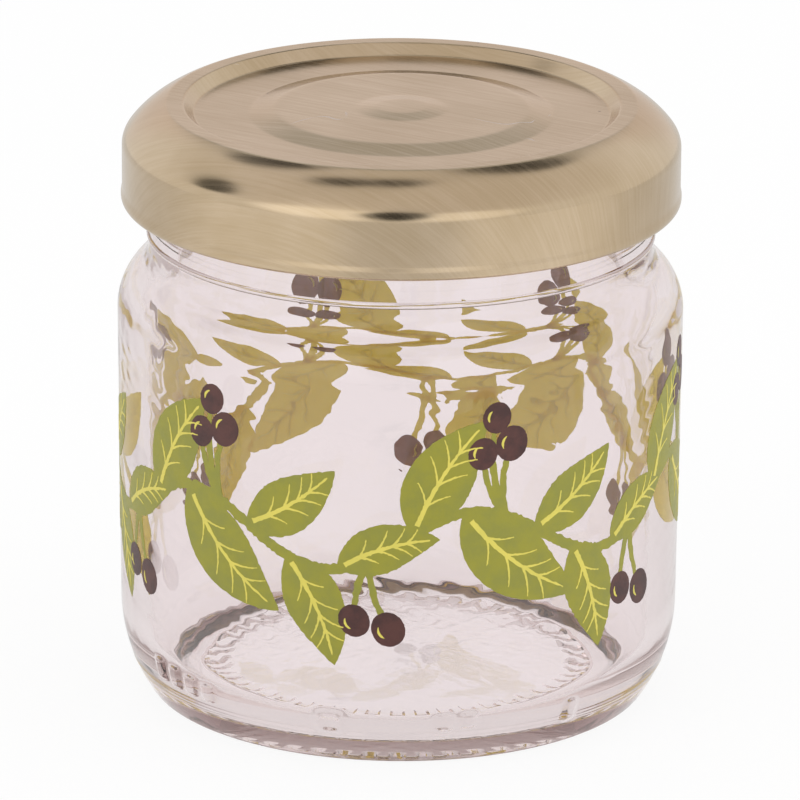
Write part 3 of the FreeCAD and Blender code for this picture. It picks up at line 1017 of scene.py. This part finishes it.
def lidOutline():
    size = named(lid)
    step = size.spacing
    turnStart, turnEnd = size.shoulderTurn
    skirt = lidRadius - size.bead
    inset = size.bead + size.corner * (1 - math.sin(turnEnd))
    drop = size.corner * math.cos(turnEnd)
    shoulderRun = size.shoulder * (math.sin(turnEnd) - math.sin(turnStart))
    shoulderFall = size.shoulder * (math.cos(turnStart) - math.cos(turnEnd))
    ringOuter = lidRadius - inset - shoulderRun
    ringInner = ringOuter - size.ringWidth
    skirtTop = lidTop - shoulderFall - drop
    panelTop = lidTop - size.panelDepth
    curl = size.curl
    curlMiddle = lidRadius - curl
    curlHeight = lidBottom + curl
    beadStart, beadFull = size.beadRun
    return panelTop, traceOutline((size.seam, panelTop), [
        (ringInner - size.panelRun, panelTop, step),
        (ringInner, lidTop, step),
        (ringOuter, lidTop, step),
        (lidRadius - inset, skirtTop + drop, step, size.shoulder, "right"),
        (skirt, skirtTop, step, size.corner, "right"),
        (skirt, curlHeight + beadStart, 2 * step),
        (lidRadius, curlHeight + beadFull, step),
        (lidRadius, curlHeight, step),
        (curlMiddle, lidBottom, step, curl, "right"),
        (curlMiddle - curl, curlHeight, step, curl, "right"),
        (curlMiddle, curlHeight + curl - size.curlGap, step, curl, "right"),
    ])


def buttonOutline(panelTop):
    size = named(button)
    step = lid["spacing"]
    top = panelTop + size.rise
    return traceOutline((0, top + size.bossRise), [
        (size.bossRadius, top + size.bossRise, 4 * step),
        (size.bossRadius + size.bossRun, top, step),
        (size.radius, top, 2 * step),
        (size.radius + size.run, panelTop, step),
        (lid["seam"], panelTop, step),
    ])


def pressLugs(radii, heights, angles):
    # the roll is squeezed inwards at each lug
    size = named(lid)
    curl = size.curl
    turned = angles % (fullTurn / size.lugCount)
    outside, inside = size.lugEase
    span = window(turned, -outside, inside, size.lugSpan - inside, size.lugSpan + outside)
    rollEdge = lidRadius - curl * size.rollStart
    roll = (radii < rollEdge) & (heights < lidBottom + 2 * curl + size.rollSlack)
    inward = np.clip((rollEdge - radii) / (size.rollRun * curl), 0, 1)
    reach = (lidRadius - 2 * curl - size.lugReach) * inward
    upward = np.clip((heights - lidBottom) / (2 * curl), 0, 1)
    flat = lidBottom + size.lugFoot + size.lugHeight * upward
    return radii - roll * reach * span, heights + roll * (flat - heights) * span * inward


def pressSheet(name, outline, reach, closed, reshape=None):
    # a pressed piece with the sheet's thickness; an open one starts on the axis
    size = named(lid)
    under = thicken(outline, size.sheet)
    under[0, 0] = outline[0, 0]
    if not closed:
        under[-1, 0] = outline[-1, 0]
    bothSides = np.concatenate([outline, under[::-1]])
    slots = np.concatenate([np.zeros(len(outline), int), np.ones(len(under), int)])
    return turnPiece(
        name, bothSides, size.segments, [goldMaterial, insideMaterial], loop=closed, reshape=reshape,
        rowSlots=slots, reach=np.concatenate([reach, reach[::-1]]), grain=size.grain,
    )


def makeLid():
    panelTop, top = lidOutline()
    top = easeCorners(top, 1)
    middle = easeCorners(buttonOutline(panelTop), 3)
    middleReach = alongOutline(middle)
    shell = pressSheet("lidShell", top, alongOutline(top) + middleReach[-1], True, pressLugs)
    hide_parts("lid_shell")
    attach(shell, "lid")
    disc = pressSheet("lidMiddle", middle, middleReach, False)
    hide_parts("safety_button")
    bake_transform(disc)
    print("lid made")


makeLid()


# Sealing ring

_, gasketLow, gasketHigh = cadSize("lid_gasket")

gasket = {
    "inner": 22.31,
    "outer": 25.25,
    "rimBed": rimHeight + 0.1,
    "lipRun": 0.5,
    "lipRise": 0.1,
    "wallRun": 1.0,
    "wallRound": 1.1,
    "hemWidth": 0.25,
    "hemHeights": (0.3, 0.35, 0.75),  # above the lowest point: inside, outside, and where it leans in
    "hemLean": 0.05,
    "crownRun": 1.45,
    "crownRound": 9.1,
    "topInset": 0.1,
    "topGap": 0.02,
    "ripple": 0.03,
    "segments": 256,
    "spacing": 0.12,
}


def makeGasket():
    size = named(gasket)
    step = size.spacing
    inner = size.inner
    outer = size.outer
    bed = size.rimBed
    top = gasketHigh - size.topGap
    hemInside, hemOutside, hemTop = (gasketLow + height for height in size.hemHeights)
    outline = traceOutline((inner, bed + size.lipRise), [
        (inner + size.lipRun, bed, step),
        (outer - size.wallRun, bed, step),
        (outer - size.hemWidth, hemInside, step, size.wallRound, "right"),
        (outer, hemOutside, step),
        (outer - size.hemLean, hemTop, step),
        (outer - size.crownRun, top, step, size.crownRound, "left"),
        (inner + size.topInset, top, step),
    ])
    outline = easeCorners(outline, 3)
    ripple = waves(8, 6, (3, 20), (0.1, 0.4), whole=True)

    def reshape(radii, heights, angles):
        return radii + size.ripple * ripple(angles, heights), heights

    piece = turnPiece("sealingRing", outline, size.segments, [sealMaterial], loop=True, reshape=reshape)
    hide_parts("lid_gasket")
    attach(piece, "seal")
    print("sealing ring made")


makeGasket()


# Studio

studio = {
    "floorRadius": 1.4,  # metres
    "floorSides": 96,
    "floorColour": (0.9, 0.9, 0.9, 1.0),
    "floorDrop": 0.05,
    "floorGlow": 0.90,
    # how gloss sees the floor, by the cosine from straight ahead: from, to, light there
    "floorAhead": (0.85, 0.98, 1.08, 0.78),
    "floorBeside": (-0.4, 0.35, 0.75, 1.0),
    "fill": 0.76,
    "backdrop": (0.87, 0.78, 0.74, 1.0),  # low behind the jar, as gloss shows it
    "ceiling": (0.86, 0.83, 0.82, 1.0),  # overhead, as gloss shows it
    "clearCeiling": (0.94, 0.90, 0.89, 1.0),  # the same, as glass shows it
    "clearFront": (0.94, 0.90, 0.87, 1.0),  # the camera's side of the room, as glass shows it
    "overhead": (0.35, 0.95),  # upward part of a direction where the ceiling starts and is full
    "backdropWay": (0, 0.95, 0.3),
    "backdropEdges": (0.8, 0.97),
    "frontWay": (0, -1, 0.1),
    "frontEdges": (0.2, 0.9),
    "aim": (0, 0, 0.03),  # metres
    "lamps": [
        # name, place, width, height, power, all in metres and watts
        ("keySoftbox", (-0.45, -0.55, 0.62), 0.60, 0.60, 1.7),
        ("sideSoftbox", (0.75, -0.30, 0.45), 0.70, 0.90, 1.9),
        ("topSoftbox", (0.05, 0.25, 0.95), 1.2, 1.2, 2.0),
    ],
}
# soft light and dark patches round the jar, as gloss shows them:
# direction, how much of the height counts, cosine where each starts and is full, shade
patches = [
    ("leftCard", (-0.48, -0.74, 0.47), 1.0, 0.82, 0.95, 1.5),
    ("rightCard", (0.40, -0.82, 0.42), 1.0, 0.88, 0.97, 1.35),
    ("lens", (-0.04, -0.955, 0.29), 0.4, 0.955, 0.985, 0.04),
    ("backWall", (0.0, 0.766, 0.643), 1.0, 0.90, 0.985, 0.60),
    ("overheadLeft", (-0.20, 0.14, 0.97), 1.0, 0.990, 0.997, 0.06),
    ("overhead", (-0.02, 0.13, 0.99), 1.0, 0.991, 0.997, 0.06),
    ("backLeft", (-0.28, 0.53, 0.80), 1.0, 0.986, 0.994, 0.05),
    ("backRight", (0.275, 0.49, 0.825), 1.0, 0.982, 0.992, 0.05),
    ("left", (-0.767, 0.126, 0.629), 1.0, 0.984, 0.993, 0.06),
]


def makeFloor():
    material, tree = newMaterial("paleFloor")
    ray = addNode(tree, "ShaderNodeLightPath").outputs
    shown = mathNode(tree, "ADD", ray["Is Camera Ray"], ray["Is Glossy Ray"], clamp=True)
    shown = mathNode(tree, "ADD", shown, ray["Is Transmission Ray"], clamp=True)
    matt = addNode(tree, "ShaderNodeBsdfPrincipled", {
        "Base Color": studio["floorColour"], "Roughness": 0.9, "Specular IOR Level": 0.1,
    })
    # gloss sees the floor a little unevenly lit: dim straight before the jar and beside it
    way = vectorNode(tree, "NORMALIZE", objectPlace(tree))
    ahead = vectorNode(tree, "DOT_PRODUCT", way, (0, -1, 0))
    before = spread(tree, ahead, *studio["floorAhead"])
    light = times(tree, before, spread(tree, ahead, *studio["floorBeside"]))
    onlyGloss = mathNode(tree, "SUBTRACT", ray["Is Glossy Ray"], ray["Is Transmission Ray"], clamp=True)
    change = times(tree, onlyGloss, mathNode(tree, "SUBTRACT", light, 1.0))
    strength = mathNode(tree, "ADD", 1.0, change)
    white = addNode(tree, "ShaderNodeEmission", {"Color": (1, 1, 1, 1), "Strength": strength})
    glow = times(tree, shown, studio["floorGlow"])
    both = addNode(tree, "ShaderNodeMixShader", {0: glow, 1: matt.outputs[0], 2: white.outputs[0]})
    surfaceOf(tree, both.outputs[0])
    sides = studio["floorSides"]
    ring = fullTurn * np.arange(sides) / sides
    points = studio["floorRadius"] * np.column_stack([np.cos(ring), np.sin(ring), np.zeros(sides)])
    points[:, 2] = -studio["floorDrop"] * mm
    floor = finishPiece("floor", points, [list(range(sides))], [material])


def makeSurroundings():
    world = bpy.data.worlds.new("studio")
    bpy.context.scene.world = world
    world.use_nodes = True
    tree = world.node_tree
    tree.nodes.clear()
    ray = addNode(tree, "ShaderNodeLightPath").outputs
    way = addNode(tree, "ShaderNodeTexCoord").outputs["Generated"]
    up = addNode(tree, "ShaderNodeSeparateXYZ", {"Vector": way}).outputs["Z"]
    overhead = spread(tree, up, *studio["overhead"])
    gloss = mixColour(tree, overhead, (1, 1, 1, 1), studio["ceiling"])
    behind = vectorNode(tree, "DOT_PRODUCT", way, studio["backdropWay"])
    gloss = mixColour(tree, spread(tree, behind, *studio["backdropEdges"]), gloss, studio["backdrop"])
    for name, direction, tall, low, high, shade in patches:
        flat = vectorNode(tree, "MULTIPLY", way, (1, 1, tall))
        flat = vectorNode(tree, "NORMALIZE", flat)
        facing = addNode(tree, "ShaderNodeVectorMath", {0: flat, 1: Vector(direction).normalized()},
                         operation="DOT_PRODUCT", label=name)
        share = spread(tree, facing.outputs["Value"], low, high)
        gloss = mixColour(tree, share, gloss, (shade, shade, shade, 1))
    clear = mixColour(tree, overhead, (1, 1, 1, 1), studio["clearCeiling"])
    front = vectorNode(tree, "DOT_PRODUCT", way, studio["frontWay"])
    clear = mixColour(tree, spread(tree, front, *studio["frontEdges"]), clear, studio["clearFront"])
    colour = mixColour(tree, ray["Is Glossy Ray"], (studio["fill"],) * 3 + (1,), gloss)
    colour = mixColour(tree, ray["Is Transmission Ray"], colour, clear)
    colour = mixColour(tree, ray["Is Camera Ray"], colour, (1, 1, 1, 1))
    background = addNode(tree, "ShaderNodeBackground", {"Color": colour, "Strength": 1.0})
    addNode(tree, "ShaderNodeOutputWorld", {"Surface": background.outputs[0]})


def makeLamps():
    target = Vector(studio["aim"])
    for name, place, width, height, power in studio["lamps"]:
        lamp = bpy.data.lights.new(name, "AREA")
        lamp.shape = "RECTANGLE"
        lamp.size = width
        lamp.size_y = height
        lamp.energy = power
        holder = addObject(name, lamp)
        holder.location = place
        holder.visible_glossy = False  # gloss and glass show the surroundings instead
        holder.visible_transmission = False
        holder.rotation_euler = (target - Vector(place)).to_track_quat("-Z", "Y").to_euler()


photoView = {
    "target": (0.03, 0, 29.35),
    "distance": 780.0,
    "elevation": math.radians(18.45),
    "lens": 348.3,
    "sensor": 36.0,
    "roll": math.radians(0.426),
}


def makeCamera():
    view = named(photoView)
    target = Vector(view.target) * mm
    back = Vector((0, -math.cos(view.elevation), math.sin(view.elevation)))
    camera = bpy.data.cameras.new("photoView")
    camera.lens = view.lens
    camera.sensor_width = view.sensor
    holder = addObject("photoView", camera)
    holder.location = target + back * view.distance * mm
    aim = (-back).to_track_quat("-Z", "Y") @ Quaternion((0, 0, 1), view.roll)
    holder.rotation_euler = aim.to_euler()
    bpy.context.scene.camera = holder


makeFloor()
makeSurroundings()
makeLamps()
makeCamera()
bpy.context.scene.view_settings.view_transform = "Standard"
print("studio made")
